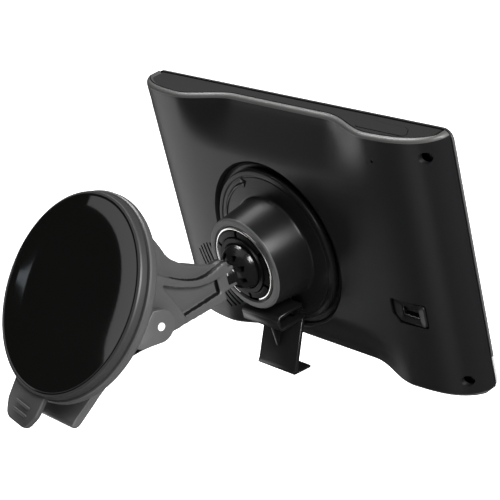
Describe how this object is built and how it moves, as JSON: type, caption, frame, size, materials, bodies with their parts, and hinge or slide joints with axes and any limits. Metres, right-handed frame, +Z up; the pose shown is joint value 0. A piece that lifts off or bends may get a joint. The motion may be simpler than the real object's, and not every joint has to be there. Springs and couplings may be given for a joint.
{
  "type": "portable gps navigator",
  "caption": "Slim portable satellite navigator with a scooped rear cover, held by a ball-jointed windscreen suction mount with a cam lever and a release latch.",
  "frame": {"origin": "centre of the suction face that rests on the windscreen", "axes": "+Z up, +Y towards the windscreen, -Y towards the driver, +X to the driver's right when facing the screen; the suction face's normal is tilted 40.8 degrees above +Y"},
  "size_m": [0.14, 0.1222, 0.0922],
  "materials": {
    "pad_rubber": "polished soft rubber, satin at the rim",
    "arm_plastic": "fine moulded texture",
    "lever_plastic": "fine moulded texture",
    "steel": "bright",
    "chrome_ring": "bright spring wire",
    "socket_plastic": "satin",
    "dock_plastic": "satin with soft highlights",
    "latch_plastic": "satin",
    "cover_plastic": "fine matte grain",
    "panel_plastic": "smooth satin",
    "bezel_plastic": "satin black with a thin silver trim",
    "touch_glass": "polished",
    "display": "dark display",
    "chassis_metal": "stamped",
    "board": "solder-masked laminate",
    "flex": "amber film",
    "shield": "tinned",
    "ceramic": "fired ceramic",
    "cell": "foil pouch",
    "plug": "natural nylon",
    "speaker": "paper cone and frame",
    "foam": "closed-cell foam"
  },
  "bodies": {
    "mount": {"suction_pad": "pad_rubber", "mount_base": "arm_plastic", "plunger_spring": "steel"},
    "plunger": {"plunger": "arm_plastic", "lever_pin": "steel"},
    "lever": {"cam_lever": "lever_plastic"},
    "liner": {"ball_liner": "socket_plastic"},
    "socket": {"socket_insert": "socket_plastic"},
    "dock": {"dock_plate": "dock_plastic", "retaining_ring": "chrome_ring", "latch_pin": "steel", "latch_spring": "steel"},
    "latch": {"release_latch": "latch_plastic"},
    "navigator": {"rear_cover": "cover_plastic", "top_panel": "panel_plastic", "bottom_panel": "panel_plastic", "front_bezel": "bezel_plastic", "case_screws": "steel", "touch_glass": "touch_glass", "display_panel": "display", "chassis": "chassis_metal", "main_board": "board", "board_screws": "steel", "display_flex": "flex", "shield_can": "shield", "gps_antenna": "ceramic", "battery": "cell", "battery_plug": "plug", "loudspeaker": "speaker", "speaker_gasket": "foam", "usb_shell": "steel", "usb_tongue": "panel_plastic", "power_switch": "panel_plastic", "switch_board": "board", "microphone": "speaker"},
    "button": {"power_button": "panel_plastic"}
  },
  "joints": [
    {"name": "plunger_slide", "type": "slide", "parent": "mount", "child": "plunger", "axis": [0, 0.757, 0.6534], "range_m": [0, 0.00175]},
    {"name": "lever_hinge", "type": "hinge", "parent": "plunger", "child": "lever", "pos_m": [0, -0.0224, -0.02118], "axis": [-1, 0, 0], "range_deg": [0, 60]},
    {"name": "ball_yaw", "type": "hinge", "parent": "mount", "child": "liner", "pos_m": [0, -0.06654, -0.02362], "axis": [0, 0, 1], "range_deg": [-20, 20]},
    {"name": "ball_tilt", "type": "hinge", "parent": "liner", "child": "socket", "pos_m": [0, -0.06654, -0.02362], "axis": [1, 0, 0], "range_deg": [-20, 20]},
    {"name": "dock_roll", "type": "hinge", "parent": "socket", "child": "dock", "pos_m": [0, -0.06654, -0.02362], "axis": [0, 1, 0], "range_deg": [-90, 90]},
    {"name": "latch_hinge", "type": "hinge", "parent": "dock", "child": "latch", "pos_m": [0, -0.07614, -0.04522], "axis": [-1, 0, 0], "range_deg": [0, 8], "stiffness_Nm_per_rad": 0.15, "springref_deg": -5.73},
    {"name": "navigator_release", "type": "slide", "parent": "dock", "child": "navigator", "axis": [0, -1, 0], "range_m": [0, 0.025]},
    {"name": "button_press", "type": "slide", "parent": "navigator", "child": "button", "axis": [0, 0, -1], "range_m": [0, 0.0005], "stiffness_N_per_m": 600, "springref_m": -0.0005}
  ],
  "couplings": [
    {"joint": "plunger_slide", "follows": "lever_hinge", "m_per_rad": 0.00167}
  ]
}
